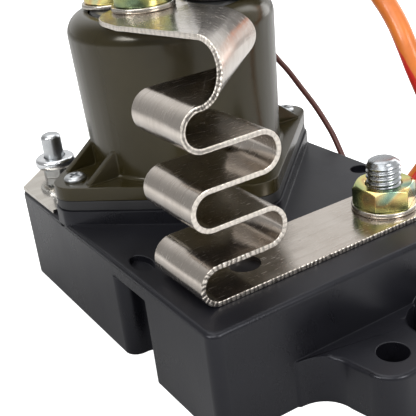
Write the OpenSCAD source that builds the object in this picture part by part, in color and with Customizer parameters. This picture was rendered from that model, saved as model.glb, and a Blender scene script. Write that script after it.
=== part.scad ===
// Glow plug relay with its folded shunt strip, on a potted controller base.
// Millimetres, +Z up. The origin is the centre of the base's bottom face.
// The strip and the front ear are towards -Y, the relay stands behind them.

/* [Base] */
// Width of the base along X
base_w = 75; // [74:0.5:84]
// Depth of the base along Y
base_d = 107; // [104:1:116]
// Height of the base's flat top
base_h = 25; // [23:0.5:30]
// Thickness of the base's side walls
base_wall = 2.5; // [1.8:0.1:3.2]
// Thickness of the base's top wall
base_top = 3; // [2.5:0.1:4]
// Length cut off each back corner
corner_cut = 12; // [8:0.5:14]
// Rounding of the base's top edge
edge_r = 1.2; // [0.6:0.1:2.4]
// Height of the raised seat under the relay
seat_h = 3.6; // [3:0.1:6]
// Thickness of the sealing pad under the relay
pad_t = 2.5; // [1.5:0.1:4]

/* [Ears and side pocket] */
// Height of the two fixing ears
ear_h = 11.2; // [8:0.1:16]
// How far each ear's hole is from the end wall
ear_reach = 10.2; // [9.5:0.1:13]
// Radius of each ear's hole
ear_hole_r = 3.3; // [2.5:0.1:4]
// Sideways place of the ear holes
ear_x = -2.6; // [-6:0.2:2]
// Width of the pocket in the left wall
pocket_w = 12; // [8:0.5:16]
// Depth of the pocket in the left wall
pocket_depth = 7; // [4:0.5:9]
// Height of the pocket
pocket_h = 21; // [16:0.5:22]

/* [Relay housing] */
// Distance of the relay's axis behind the base's centre
relay_y = 14.5; // [14.5:0.1:16]
// Thickness of the relay's mounting flange
flange_t = 3.5; // [2.5:0.1:4.5]
// Gap from the flange's screw ears to the base's side walls
flange_in = 0.2; // [0.1:0.1:1.5]
// Reach of the flange's short corners from the axis
flange_side = 36.3; // [33:0.1:37]
// Radius of the flange's corners
flange_r = 6; // [5:0.1:7]
// Radius of the relay's body just above the flange
body_r_low = 24.4; // [23.5:0.1:25]
// Radius of the relay's body below its shoulder
body_r_top = 25.4; // [24:0.1:26]
// Height of the relay housing over its flange's bottom face
body_h = 40.7; // [40.1:0.1:44]
// Radius of the body's rounded shoulder
shoulder_r = 5; // [2:0.1:5.2]
// Height of the triangular ribs over the flange
rib_h = 6.6; // [3:0.1:9]
// Thickness of the triangular ribs
rib_t = 2; // [1:0.1:2.5]
// Distance of each rib from the ear's middle line
rib_y = 6.2; // [5:0.1:7]

/* [Relay header and terminals] */
// Radius of the black terminal header
header_r = 19.2; // [19:0.1:19.6]
// Thickness of the terminal header
header_t = 3.1; // [2.5:0.1:4]
// Sideways distance of the terminals from the axis
stud_x = 11; // [10.6:0.1:11]
// Lengthwise distance of the terminals from the axis
stud_y = 8.3; // [8.2:0.1:8.6]
// Radius of the two power studs and the base stud
stud_r = 3.97; // [3.5:0.01:4]
// Radius of the two coil studs
coil_stud_r = 2.4; // [2:0.05:2.6]
// Height of the power studs over the header
stud_rise = 12; // [11:0.5:16]
// Height of the coil studs over the header
coil_stud_rise = 7.5; // [7:0.5:9]
// Across flats of the coil studs' nuts
coil_nut_flats = 8; // [7:0.1:8.5]
// Thickness of the coil studs' nuts
coil_nut_t = 3.2; // [2.4:0.1:4]
// Across flats of the large hex nuts
nut_flats = 12.7; // [11:0.1:13.5]
// Thickness of the nuts on the relay's power studs
nut_t = 4.8; // [3:0.1:5.5]
// Outer radius of the large flat washers
washer_r = 7.45; // [6.5:0.05:7.8]
// Thickness of the large flat washers
washer_t = 1.2; // [0.8:0.1:2]
// Outer radius of the spring washers
lock_r = 6.7; // [6:0.05:7.4]
// Thickness of the spring washers
lock_t = 2.4; // [1.5:0.1:3]

/* [Relay inside] */
// Radius of the moving plunger
plunger_r = 5; // [4:0.1:5.5]
// Upward travel of the plunger
travel = 2; // [1.5:0.1:2.4]
// Outer radius of the coil winding
winding_r = 15.8; // [12:0.1:16.5]
// Height of the coil bobbin
bobbin_h = 23.8; // [20:0.1:24.5]
// Radius of the contact disc
contact_r = 14; // [12:0.1:15]

/* [Shunt strip] */
// Thickness of the strip
strip_t = 1.1; // [0.8:0.05:1.4]
// Width of the strip
strip_w = 18.4; // [17:0.1:19]
// Distance of the strip's front edge from the base's front wall
strip_front = 7.8; // [7:0.1:9]
// Height from one fold of the strip to the next
strip_pitch = 7.9; // [7.2:0.05:8.2]
// Place of the left bends' centres
bend_left = -29.35; // [-31:0.1:-28]
// Place of the right bends' centres
bend_right = -17.15; // [-18:0.1:-15]
// Distance of the strip's free end from the right wall
strip_end_in = 7.5; // [4.5:0.5:8.5]
// Place of the hole beside the lowest fold
strip_hole_x = -17.9; // [-20:0.1:-16]
// Radius of the hole beside the lowest fold
strip_hole_r = 3.5; // [2:0.1:5]
// Angle of the diagonal fold seen from above
fold_angle = 54; // [50:0.5:58]
// Radius of the diagonal fold at the near edge
fold_near_r = 3.7; // [3.2:0.1:4.5]
// Radius of the diagonal fold at the far edge
fold_far_r = 9.3; // [8.5:0.1:11.6]
// Reach of the tongue to the left of its stud
tongue_left = 13.1; // [11:0.1:13.6]
// Reach of the tongue to the right of its stud
tongue_right = 9; // [8:0.1:9.8]

/* [Base terminals] */
// Distance of the base stud from the right wall
base_stud_in = 16.35; // [15.5:0.05:21.5]
// Height of the base stud over the base
base_stud_rise = 13.1; // [9:0.1:16]
// Thickness of the base stud's nut
base_nut_t = 4.8; // [2.5:0.1:5]
// Distance of the corner stud from the left wall
corner_stud_in = 11.4; // [10.5:0.1:12]
// Distance of the corner stud from the back wall
corner_stud_back = 10.2; // [9.6:0.1:11]
// Height of the corner stud over the base
corner_stud_rise = 13; // [9:0.5:15]
// Thickness of the corner plate
plate_t = 1; // [0.6:0.1:1.4]

/* [Leads] */
// Radius of the orange lead
orange_r = 2.5; // [1.5:0.1:2.6]
// Radius of the brown lead
brown_r = 0.8; // [0.5:0.05:1]
// Lowest radius of the rubber boot over the orange lead's terminal
boot_r = 10; // [9:0.1:10.4]

/* [Clearances] */
// Gap between a stud and the hole it passes through
hole_gap = 0.2; // [0.1:0.05:0.3]
// Gap between a nut's bore and its stud
thread_gap = 0.05; // [0.02:0.01:0.1]
// Gap round the plunger and the pieces inside the housings
slide_gap = 0.3; // [0.2:0.05:0.4]

/* [Hidden] */
$fn = 64;

// Heights of the stack, from the base's top upwards
seat_z = base_h + seat_h;
relay_z = seat_z + pad_t;
flange_z = relay_z + flange_t;
housing_top = relay_z + body_h;
header_z = housing_top + 0.3 - header_t;
header_top = header_z + header_t;
floor_t = 2.5;
floor_z = relay_z + floor_t;
cavity_r = 18.6;

// Inside of the relay, from its floor upwards
bobbin_flange = 1.4;
bobbin_tube_r = plunger_r + slide_gap + 1.3;
pole_t = 2;
pole_z = floor_z + bobbin_h;
rod_r = 2;
plunger_z = floor_z + 0.1;
plunger_top = pole_z - travel - 0.2;
insulator_z = pole_z + pole_t + 0.6;
insulator_t = 1.4;
bush_r = rod_r + 1.4;
disc_z = insulator_z + insulator_t;
disc_t = 1.5;
contact_gap = 0.1;
head_z = disc_z + disc_t + travel + contact_gap;
head_r = 4.6;
coil_head_r = 3.5;
coil_head_t = 1.2;
spring_r = 5;
spring_wire_r = 0.4;
spring_turns = 2.5;

// Ears, walls and inside of the base
front_y = -base_d / 2;
wall_x = base_w / 2;
wall_r = 2.6;
pocket_y = front_y + 32.5;
pocket_round = 3;
pocket_mouth_r = 3.3;
ear_root = 9;
ear_fillet = 7;
ear_ledge = 0.7;
ear_tip = ear_hole_r + 4.1;
ear_corner = 5.8;
boss_r = 6.5;
boss_h = 13.5;
boss_round = 4.5;
boss_x = 18.6;
boss_out = 8.2;
board_z = 8;
board_t = 1.6;
cavity_z = base_h - base_top;
stud_head_t = 2.5;
flange_tip = wall_x - flange_in;
screw_in = 5.3;
screw_x = flange_tip - screw_in;
screw_r = 2.1;
screw_bite = 6;
screw_head_r = 2.7;
screw_head_t = 1.3;

// Shunt strip, with its middle surface as the reference
bend_r = strip_pitch / 2;
strip_y = front_y + strip_front;
strip_mid = strip_y + strip_w / 2;
strip_end = wall_x - strip_end_in;
strip_z = base_h + strip_t / 2;
folds = 5;
strip_top_z = strip_z + folds * strip_pitch;
tongue_z = header_top + strip_t / 2;
fold_start = bend_left + 0.1;
near_lift = 3;
far_lift = 0.9;
tongue_x = -stud_x;
tongue_y = relay_y - stud_y;
tongue_round_y = tongue_y - 6.3;
end_corner = 2.5;

// Places of the base's own terminals
base_stud_x = wall_x - base_stud_in;
corner_x = -wall_x + corner_stud_in;
corner_y = base_d / 2 - corner_stud_back;
corner_stud_r = 2.7;
corner_nut_flats = 7;
corner_nut_t = 2.5;
corner_washer_r = 5.4;
corner_washer_t = 2.8;
plate_inner_x = corner_x + 8;
plate_front_y = corner_y - 22.7;
plate_back_y = corner_y + 6.6;

// Boot and leads
boot_x = stud_x;
boot_y = relay_y - stud_y;
boot_h = 14;
boot_wall = 1.4;
sleeve_z = header_top + 6.4;
sleeve_turn = -20;
sleeve_len = 17;
sleeve_wall = 1.2;
ring_t = 0.9;
orange_y = -18.5;
orange_z = 13;
brown_y = -6;
brown_z = 13;
lead_end_x = wall_x - 8;
grommet_lip = 1.2;

// Courses of the leads: out of the terminal, then down beside the right wall.
// Each step down is [distance from the wall, y, share of the height still to fall].
orange_start = [[5.8, -2.1, 0], [11.1, -4, 0], [16, -5.8, 0.1], [21.5, -7.8, 1], [26.8, -10.4, -0.6]];
orange_fall = [[4.2, -9.5, 0.9], [5.7, -15, 0.8], [5.6, -18.9, 0.733], [5.2, -22.2, 0.664], [5.5, -25.2, 0.573],
    [7.5, -27, 0.464], [10.1, -27, 0.359], [12.5, -25, 0.26], [12.9, -22, 0.171], [10.5, -19.6, 0.09],
    [6.3, -18.7, 0.027], [2, orange_y, 0]];
orange_route = concat([for (p = orange_start) [boot_x, boot_y, sleeve_z] + p],
    [for (p = orange_fall) [wall_x + p[0], p[1], orange_z + p[2] * (sleeve_z - orange_z)]],
    [[lead_end_x, orange_y, orange_z]]);
brown_start = [[3.6, 3.6, ring_t + brown_r + 0.02], [7.5, 7.2, 2.3], [12, 10.2, 0], [16.5, 12.2, -4.1],
    [20.5, 12.7, -9.1]];
brown_fall = [[-2.5, 34.2, 0.748], [0.4, 31, 0.646], [2.1, 26.6, 0.557], [3.1, 22.9, 0.499],
    [3.7, 18.2, 0.428], [3.9, 13.1, 0.362], [3.8, 8.9, 0.303], [3.5, 4.9, 0.242], [2.9, 1, 0.169],
    [2.5, -2.4, 0.091], [2.4, -4.8, 0.027], [2, brown_y, 0]];
brown_route = concat([for (p = brown_start) [stud_x, relay_y + stud_y, header_top] + p],
    [for (p = brown_fall) [wall_x + p[0], p[1], brown_z + p[2] * (header_top - brown_z)]],
    [[lead_end_x, brown_y, brown_z]]);

// Plain helpers

module tube(r_out, r_in, h) {
    difference() {
        cylinder(r = r_out, h = h);
        translate([0, 0, -1])
            cylinder(r = r_in, h = h + 2);
    }
}

module hex_nut(flats, h, bore_r) {
    corner_r = flats / 2 / cos(30);
    difference() {
        intersection() {
            cylinder(r = corner_r, h = h, $fn = 6);
            cylinder(r1 = corner_r + h * 1.2 - 0.6, r2 = corner_r - 0.6, h = h);
        }
        translate([0, 0, -1])
            cylinder(r = bore_r, h = h + 2);
    }
}

module spring_washer(r_out, r_in, h) {
    slit = 0.8;
    difference() {
        tube(r_out, r_in, h);
        translate([0, -slit / 2, -1])
            cube([r_out + 1, slit, h + 2]);
    }
}

// A stud with a round head below and a domed tip, standing on z = 0
module stud(r, h, head_radius, head_h) {
    dome = r * 0.45;
    dome_r = (r * r + dome * dome) / (2 * dome);
    translate([0, 0, -head_h])
        cylinder(r = head_radius, h = head_h);
    translate([0, 0, -0.01])
        cylinder(r = r, h = h - dome + 0.01);
    translate([0, 0, h - dome])
        rotate_extrude()
            intersection() {
                translate([0, dome - dome_r])
                    circle(r = dome_r);
                square([r, dome]);
            }
}

// Outline of the relay's flange: four round corners on a lozenge
module lozenge(grow) {
    tip_c = flange_tip - flange_r;
    side_c = flange_side - flange_r;
    r = flange_r + grow;
    slope = norm([tip_c, side_c]);
    nx = r * side_c / slope;
    ny = r * tip_c / slope;
    polygon([[tip_c + nx, ny], [nx, side_c + ny], [-nx, side_c + ny], [-tip_c - nx, ny],
        [-tip_c - nx, -ny], [-nx, -side_c - ny], [nx, -side_c - ny], [tip_c + nx, -ny]]);
    for (s = [-1, 1]) {
        translate([s * tip_c, 0])
            circle(r = r);
        translate([0, s * side_c])
            circle(r = r);
    }
}

// Outline of the base, drawn in by a given amount on every side
module base_outline(inset) {
    x = base_w / 2 - inset;
    y = base_d / 2 - inset;
    c = corner_cut - inset * (2 - sqrt(2));
    polygon([[-x, -y], [x, -y], [x, y - c], [x - c, y], [-x + c, y], [-x, y - c]]);
}

// The pocket in the left wall, with a rounded bottom and a wide mouth
module pocket_outline(grow) {
    r = pocket_round + grow;
    inner_x = -base_w / 2 + pocket_depth + grow;
    half = pocket_w / 2 + grow;
    translate([-base_w / 2 - 3, pocket_y - half])
        square([inner_x + base_w / 2 + 3 - r, 2 * half]);
    translate([inner_x - r - 0.01, pocket_y - half + r])
        square([r + 0.01, 2 * (half - r)]);
    for (s = [-1, 1])
        translate([inner_x - r, pocket_y + s * (half - r)])
            circle(r = r);
    difference() {
        translate([-base_w / 2 - 3, pocket_y + half - 0.01])
            square([pocket_mouth_r + 3, pocket_mouth_r]);
        translate([-base_w / 2 + pocket_mouth_r, pocket_y + half + pocket_mouth_r])
            circle(r = pocket_mouth_r);
    }
}

// Straight round bores down from the base's top for its three studs
module base_top_holes() {
    for (p = [[base_stud_x, strip_mid, stud_r], [corner_x, corner_y, corner_stud_r]])
        translate([p[0], p[1], cavity_z - 1])
            cylinder(r = p[2] + hole_gap, h = base_top + 2);
    for (s = [-1, 1])
        translate([s * screw_x, relay_y, relay_z - pad_t - screw_bite])
            cylinder(r = screw_r + thread_gap, h = screw_bite + 1);
}

// One fixing ear reaching towards -Y from y = 0: a thin ledge on the wall, hollow flanks and a round tip
module ear() {
    half = ear_hole_r + 4.9;
    tip_y = -ear_reach - ear_tip;
    round_y = tip_y + ear_corner;
    foot_x = ear_root + ear_fillet;
    foot_y = -ear_ledge - ear_fillet;
    difference() {
        linear_extrude(ear_h) {
            polygon([[-ear_root, foot_y], [-half, round_y], [ear_corner - half, tip_y],
                [half - ear_corner, tip_y], [half, round_y], [ear_root, foot_y]]);
            for (s = [-1, 1]) {
                translate([s * (half - ear_corner), round_y])
                    circle(r = ear_corner);
                translate([s * foot_x, 0])
                    circle(r = ear_ledge);
            }
            difference() {
                translate([-foot_x, foot_y])
                    square([2 * foot_x, 1 - foot_y]);
                for (s = [-1, 1])
                    translate([s * foot_x, foot_y])
                        circle(r = ear_fillet);
            }
        }
        translate([0, -ear_reach, -1])
            cylinder(r = ear_hole_r, h = ear_h + 2);
    }
}

// Low boss with a rounded top, from the front wall outwards
module front_boss() {
    hull()
        for (y = [-boss_out, 4])
            translate([boss_x, front_y + y, 0])
                rotate_extrude($fn = 40)
                    polygon(concat([[0, 0], [boss_r, 0]], [for (a = [0:22.5:90])
                        [boss_r - boss_round * (1 - cos(a)), boss_h - boss_round * (1 - sin(a))]], [[0, boss_h]]));
}

module base_housing() {
    color([0.13, 0.13, 0.14])
        difference() {
            union() {
                base_block();
                translate([0, relay_y, base_h - 1])
                    linear_extrude(seat_h + 1)
                        intersection() {
                            lozenge(0.4);
                            translate([0, -relay_y])
                                base_outline(0);
                        }
                translate([ear_x, front_y, 0])
                    ear();
                translate([ear_x, -front_y, 0])
                    rotate([0, 0, 180])
                        ear();
                front_boss();
            }
            base_cavity(0);
            translate([0, 0, -1])
                linear_extrude(pocket_h + 1)
                    pocket_outline(0);
            base_top_holes();
            // Oval recess in the top, over the pocket
            translate([-wall_x + 4.6, pocket_y + 2.3, base_h - 1.6])
                scale([0.52, 1, 1])
                    cylinder(r = 4.2, h = 2);
            // Blind locating hole near the right edge
            translate([wall_x - 4, front_y + 39, base_h - 2])
                cylinder(r = 2.5, h = 3);
            for (g = [[orange_y, orange_z, orange_r + 1.4], [brown_y, brown_z, brown_r + 1.4]])
                translate([base_w / 2 - base_wall - 1, g[0], g[1]])
                    rotate([0, 90, 0])
                        cylinder(r = g[2], h = base_wall + 2);
        }
}

// Solid block with a rounded top edge and slightly rounded upright edges
module base_block() {
    hull()
        for (a = [0:15:90]) {
            inset = edge_r * (1 - cos(a));
            top = base_h - edge_r + edge_r * sin(a);
            linear_extrude(top)
                offset(r = wall_r, $fn = 24)
                    base_outline(wall_r + inset);
        }
}

// Hollow of the base, smaller by a gap on every side, clear of the pocket
module base_cavity(gap) {
    translate([0, 0, -1])
        linear_extrude(cavity_z + 1 - gap)
            difference() {
                base_outline(base_wall + gap);
                pocket_outline(base_wall + gap);
            }
}

// Sealing compound that fills the base from below, up to the board
module potting_block() {
    color([0.07, 0.07, 0.08])
        intersection() {
            base_cavity(0.1);
            translate([-base_w, -base_d, 0])
                cube([2 * base_w, 2 * base_d, board_z]);
        }
}

module circuit_board() {
    color([0.1, 0.35, 0.2])
        intersection() {
            base_cavity(0.8);
            translate([-base_w, -base_d, board_z])
                cube([2 * base_w, 2 * base_d, board_t]);
        }
}

// Timer chip, two capacitors, a driver transistor and resistors on the board
module board_parts() {
    room = cavity_z - stud_head_t - board_z - board_t;
    chip = [12, 6.5, 3.2];
    capacitor_r = 3.1;
    resistor_r = 1.3;
    resistor_len = 7;
    transistor_d = 4.6;
    color([0.2, 0.2, 0.22])
        translate([0, 0, board_z + board_t]) {
            translate([-chip[0] / 2, relay_y - chip[1], 0])
                cube(chip);
            for (x = [-22, 4])
                translate([x, relay_y + 17.5, 0])
                    cylinder(r = capacitor_r, h = room * 0.86);
            translate([base_stud_x - 11, strip_mid + 0.5, 0])
                cube([10.2, transistor_d, room * 0.9]);
            for (k = [0:3])
                translate([resistor_len * (k - 2), -12, resistor_r])
                    rotate([-90, 0, 0])
                        cylinder(r = resistor_r, h = resistor_len);
        }
}

module relay_pad() {
    color([0.09, 0.09, 0.1])
        translate([0, relay_y, seat_z])
            difference() {
                linear_extrude(pad_t)
                    lozenge(-0.1);
                for (s = [-1, 1])
                    translate([s * screw_x, 0, -1])
                        cylinder(r = screw_r + hole_gap, h = pad_t + 2);
            }
}

// Profile of the housing's outside, from the axis round the shoulder
module housing_profile() {
    h = body_h;
    wall_top = h - shoulder_r;
    foot = 1;
    mouth_r = header_r + slide_gap;
    polygon(concat(
        [[0, 0], [body_r_low, 0], [body_r_low, flange_t - 0.01], [body_r_low + foot, flange_t - 0.01]],
        [for (a = [0:15:90]) [body_r_low + foot - foot * sin(a), flange_t + foot - foot * cos(a)]],
        [for (a = [0:6:90]) [body_r_top - shoulder_r + shoulder_r * cos(a), wall_top + shoulder_r * sin(a)]],
        [[mouth_r, h], [mouth_r, header_z - relay_z], [cavity_r, header_z - relay_z],
            [cavity_r, floor_t], [0, floor_t]]));
}

module relay_housing() {
    ear_in = 20;
    color([0.32, 0.28, 0.22])
        translate([0, relay_y, relay_z])
            difference() {
                union() {
                    rotate_extrude($fn = 96)
                        housing_profile();
                    difference() {
                        linear_extrude(flange_t)
                            lozenge(0);
                        translate([0, 0, floor_t])
                            cylinder(r = cavity_r + 2, h = flange_t);
                    }
                    for (s = [-1, 1], y = [-rib_y, rib_y])
                        mirror([s < 0 ? 1 : 0, 0, 0])
                            translate([0, y + rib_t / 2, 0])
                                rotate([90, 0, 0])
                                    linear_extrude(rib_t)
                                        polygon([[ear_in, flange_t - 0.5], [screw_x - 0.4, flange_t - 0.5],
                                            [screw_x - 0.4, flange_t + 0.3], [body_r_low - 0.9, flange_t + rib_h],
                                            [ear_in, flange_t + rib_h]]);
                }
                for (s = [-1, 1])
                    translate([s * screw_x, 0, -1])
                        cylinder(r = screw_r + hole_gap, h = flange_t + 2);
            }
}

module relay_header() {
    color([0.05, 0.05, 0.05])
        translate([0, relay_y, header_z])
            difference() {
                rotate_extrude()
                    polygon([[0, 0], [header_r, 0], [header_r, header_t - 0.6], [header_r - 0.6, header_t],
                        [0, header_t]]);
                for (s = [-1, 1])
                    translate([-stud_x, s * stud_y, -1])
                        cylinder(r = stud_r + hole_gap, h = header_t + 2);
                for (s = [-1, 1])
                    translate([stud_x, s * stud_y, 0]) {
                        translate([0, 0, -1])
                            cylinder(r = coil_stud_r + hole_gap, h = header_t + 2);
                        translate([0, 0, -1])
                            cylinder(r = coil_head_r + hole_gap, h = coil_head_t + 1);
                    }
            }
}

// Two pan head screws with a cross recess
module relay_screws() {
    color([0.75, 0.75, 0.74])
        for (s = [-1, 1])
            translate([s * screw_x, relay_y, flange_z])
                difference() {
                    union() {
                        translate([0, 0, relay_z - flange_z - pad_t - screw_bite + 0.5])
                            cylinder(r = screw_r, h = flange_z - relay_z + pad_t + screw_bite - 0.4);
                        rotate_extrude()
                            polygon([[0, 0], [screw_head_r, 0], [screw_head_r, screw_head_t * 0.5],
                                [screw_head_r * 0.82, screw_head_t * 0.87], [screw_head_r * 0.45, screw_head_t],
                                [0, screw_head_t]]);
                    }
                    for (a = [25, 115])
                        rotate([0, 0, a])
                            translate([-1.6, -0.35, screw_head_t - 0.9])
                                cube([3.2, 0.7, 2]);
                }
}

module coil_bobbin() {
    color([0.85, 0.83, 0.75])
        translate([0, relay_y, floor_z])
            difference() {
                union() {
                    cylinder(r = bobbin_tube_r, h = bobbin_h);
                    cylinder(r = winding_r + 1, h = bobbin_flange);
                    translate([0, 0, bobbin_h - bobbin_flange])
                        cylinder(r = winding_r + 1, h = bobbin_flange);
                }
                translate([0, 0, -1])
                    cylinder(r = plunger_r + slide_gap, h = bobbin_h + 2);
            }
}

module coil_winding() {
    color([0.72, 0.38, 0.2])
        translate([0, relay_y, floor_z + bobbin_flange])
            tube(winding_r, bobbin_tube_r, bobbin_h - 2 * bobbin_flange);
}

// Steel plate on the bobbin that pulls the plunger up
module pole_plate() {
    color([0.6, 0.6, 0.6])
        translate([0, relay_y, pole_z])
            tube(cavity_r - slide_gap, rod_r + slide_gap, pole_t);
}

module plunger() {
    color([0.65, 0.65, 0.66])
        translate([0, relay_y, 0]) {
            translate([0, 0, plunger_z])
                cylinder(r = plunger_r, h = plunger_top - plunger_z);
            translate([0, 0, plunger_top - 0.01])
                cylinder(r = rod_r, h = disc_z + disc_t + 0.8 - plunger_top);
        }
}

// Insulating bush between the rod and the contact disc
module contact_insulator() {
    color([0.9, 0.88, 0.8])
        translate([0, relay_y, insulator_z])
            difference() {
                union() {
                    cylinder(r = bush_r + 2.6, h = insulator_t);
                    cylinder(r = bush_r, h = insulator_t + disc_t);
                }
                translate([0, 0, -1])
                    cylinder(r = rod_r + thread_gap, h = insulator_t + disc_t + 2);
            }
}

module contact_disc() {
    color([0.8, 0.5, 0.3])
        translate([0, relay_y, disc_z])
            tube(contact_r, bush_r + thread_gap, disc_t);
}

// Helix between the contact disc and the header
module return_spring() {
    low = disc_z + disc_t + spring_wire_r;
    high = header_z - spring_wire_r;
    steps = 40;
    color([0.7, 0.7, 0.72])
        translate([0, relay_y, 0])
            sweep([for (k = [0:steps]) let (a = 360 * spring_turns * k / steps)
                [spring_r * cos(a), spring_r * sin(a), low + (high - low) * k / steps]],
                spring_wire_r, 6, [0, 0, 1]);
}

module power_stud(y_side) {
    color([0.78, 0.78, 0.77])
        translate([-stud_x, relay_y + y_side * stud_y, header_z])
            stud(stud_r, header_t + stud_rise, head_r, header_z - head_z);
}

module coil_stud(y_side) {
    color([0.78, 0.78, 0.77])
        translate([stud_x, relay_y + y_side * stud_y, header_z + coil_head_t])
            stud(coil_stud_r, header_t - coil_head_t + coil_stud_rise, coil_head_r, coil_head_t);
}

module load_stud() {
    power_stud(-1);
}

module feed_stud() {
    power_stud(1);
}

module coil_stud_boot() {
    coil_stud(-1);
}

module coil_stud_open() {
    coil_stud(1);
}

module load_washer() {
    color([0.78, 0.78, 0.77])
        translate([tongue_x, tongue_y, header_top + strip_t])
            tube(washer_r, stud_r + hole_gap, washer_t);
}

module load_lock_washer() {
    color([0.8, 0.72, 0.4])
        translate([tongue_x, tongue_y, header_top + strip_t + washer_t])
            rotate([0, 0, 75])
                spring_washer(lock_r, stud_r + hole_gap, lock_t);
}

module load_nut() {
    color([0.8, 0.72, 0.4])
        translate([tongue_x, tongue_y, header_top + strip_t + washer_t + lock_t])
            rotate([0, 0, 8])
                hex_nut(nut_flats, nut_t, stud_r + thread_gap);
}

module feed_flat_washer() {
    color([0.78, 0.78, 0.77])
        translate([-stud_x, relay_y + stud_y, header_top])
            tube(washer_r, stud_r + hole_gap, washer_t);
}

module feed_washer() {
    color([0.8, 0.72, 0.4])
        translate([-stud_x, relay_y + stud_y, header_top + washer_t])
            rotate([0, 0, 100])
                spring_washer(lock_r, stud_r + hole_gap, lock_t);
}

module feed_nut() {
    color([0.8, 0.72, 0.4])
        translate([-stud_x, relay_y + stud_y, header_top + washer_t + lock_t])
            rotate([0, 0, 20])
                hex_nut(nut_flats, nut_t, stud_r + thread_gap);
}

// Ring terminal under the boot's nut, bent up where the lead is crimped to it
module boot_ring_terminal() {
    tab_x = 5.2;
    tab_w = 4.4;
    color([0.75, 0.74, 0.7])
        translate([boot_x, boot_y, header_top])
            rotate([0, 0, sleeve_turn])
                difference() {
                    union() {
                        cylinder(r = coil_stud_r + 3, h = ring_t);
                        translate([0, -tab_w / 2, 0])
                            cube([tab_x + ring_t, tab_w, ring_t]);
                        translate([tab_x, -tab_w / 2, 0])
                            cube([ring_t, tab_w, sleeve_z - header_top + 1.6]);
                    }
                    translate([0, 0, -1])
                        cylinder(r = coil_stud_r + hole_gap, h = ring_t + 2);
                }
}

module boot_nut() {
    color([0.8, 0.72, 0.4])
        translate([boot_x, boot_y, header_top + ring_t])
            hex_nut(coil_nut_flats, coil_nut_t, coil_stud_r + thread_gap);
}

// Rubber boot: a soft dome over the terminal with a sleeve for the lead
module terminal_boot() {
    inner_r = boot_r - boot_wall;
    top_r = boot_r * 0.72;
    color([0.08, 0.08, 0.08])
        translate([boot_x, boot_y, header_top])
            difference() {
                union() {
                    rotate_extrude()
                        polygon([[0, 0], [boot_r, 0], [boot_r, 1.6], [boot_r - 0.8, 2.4],
                            [top_r + 0.6, boot_h - 3.4], [top_r - 0.9, boot_h - 1.2], [top_r - 3, boot_h], [0, boot_h]]);
                    translate([0, 0, sleeve_z - header_top])
                        rotate([0, 0, sleeve_turn])
                            rotate([0, 90, 0])
                                cylinder(r = orange_r + sleeve_wall, h = sleeve_len);
                }
                translate([0, 0, -1])
                    rotate_extrude()
                        polygon([[0, 0], [inner_r, 0], [inner_r, 3], [top_r - boot_wall, boot_h - 2.6],
                            [top_r - boot_wall - 2, boot_h - 0.6], [0, boot_h - 0.6]]);
                translate([0, 0, sleeve_z - header_top])
                    rotate([0, 0, sleeve_turn])
                        rotate([0, 90, 0])
                            cylinder(r = orange_r + hole_gap, h = sleeve_len + 1);
            }
}

module open_ring_terminal() {
    color([0.75, 0.74, 0.7])
        translate([stud_x, relay_y + stud_y, header_top])
            rotate([0, 0, 45])
                difference() {
                    union() {
                        cylinder(r = coil_stud_r + 2.2, h = ring_t);
                        translate([0, -1.1, 0])
                            cube([6.5, 2.2, ring_t]);
                    }
                    translate([0, 0, -1])
                        cylinder(r = coil_stud_r + hole_gap, h = ring_t + 2);
                }
}

module open_nut() {
    color([0.8, 0.72, 0.4])
        translate([stud_x, relay_y + stud_y, header_top + ring_t])
            hex_nut(coil_nut_flats, coil_nut_t, coil_stud_r + thread_gap);
}

// A flat band swept through stations of [near point, far point, normal]
module band(stations, t) {
    n = len(stations);
    points = [for (s = stations) each [s[0] + s[2] * t / 2, s[1] + s[2] * t / 2,
        s[1] - s[2] * t / 2, s[0] - s[2] * t / 2]];
    sides = [for (i = [0:n - 2], k = [0:3]) let (a = 4 * i + k, b = 4 * i + (k + 1) % 4)
        each [[a, b, b + 4], [a, b + 4, a + 4]]];
    polyhedron(points, concat(sides, [[3, 2, 1], [3, 1, 0]], [[4 * n - 4, 4 * n - 3, 4 * n - 2],
        [4 * n - 4, 4 * n - 2, 4 * n - 1]]));
}

function unit(v) = v / norm(v);

// The lowest flat, from its free end with two small rounded corners
function end_stations() = [for (a = [0:30:90])
    let (in = end_corner * (1 - sin(a)), x = strip_end - end_corner * (1 - cos(a)))
    [[x, strip_y + in, strip_z], [x, strip_y + strip_w - in, strip_z], [0, 0, -1]]];

// The five half turns, left and right by turns, each one fold higher
function fold_stations() = [for (i = [0:folds - 1], a = [0:12:180])
    let (left = i % 2 == 0, side = left ? -1 : 1, cx = left ? bend_left : bend_right,
        x = cx + side * bend_r * sin(a), z = strip_z + (i + 0.5) * strip_pitch - bend_r * cos(a),
        up = left ? -cos(a) : cos(a))
    [[x, strip_y, z], [x, strip_y + strip_w, z], [-sin(a), 0, up]]];

// The diagonal fold, a cone that turns the strip up and back over itself
function cone_point(start, r, rise, phi) = start
    + [cos(fold_angle), sin(fold_angle), 0] * r * (phi * PI / 180) / tan(fold_angle)
    + [sin(fold_angle), -cos(fold_angle), 0] * r * sin(phi)
    + [0, 0, rise * (1 - cos(phi)) / 2];

function cone_stations() = let (
    near = [fold_start, strip_y, strip_top_z],
    far = near + [strip_w / tan(fold_angle), strip_w, 0],
    near_rise = tongue_z + near_lift - strip_top_z,
    far_rise = tongue_z + far_lift - strip_top_z)
    [for (phi = [0:9:180]) let (
        p = cone_point(near, fold_near_r, near_rise, phi),
        q = cone_point(far, fold_far_r, far_rise, phi),
        before = cone_point(near, fold_near_r, near_rise, phi - 1) + cone_point(far, fold_far_r, far_rise, phi - 1),
        after = cone_point(near, fold_near_r, near_rise, phi + 1) + cone_point(far, fold_far_r, far_rise, phi + 1))
    [p, q, unit(cross(after - before, q - p))]];

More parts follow.
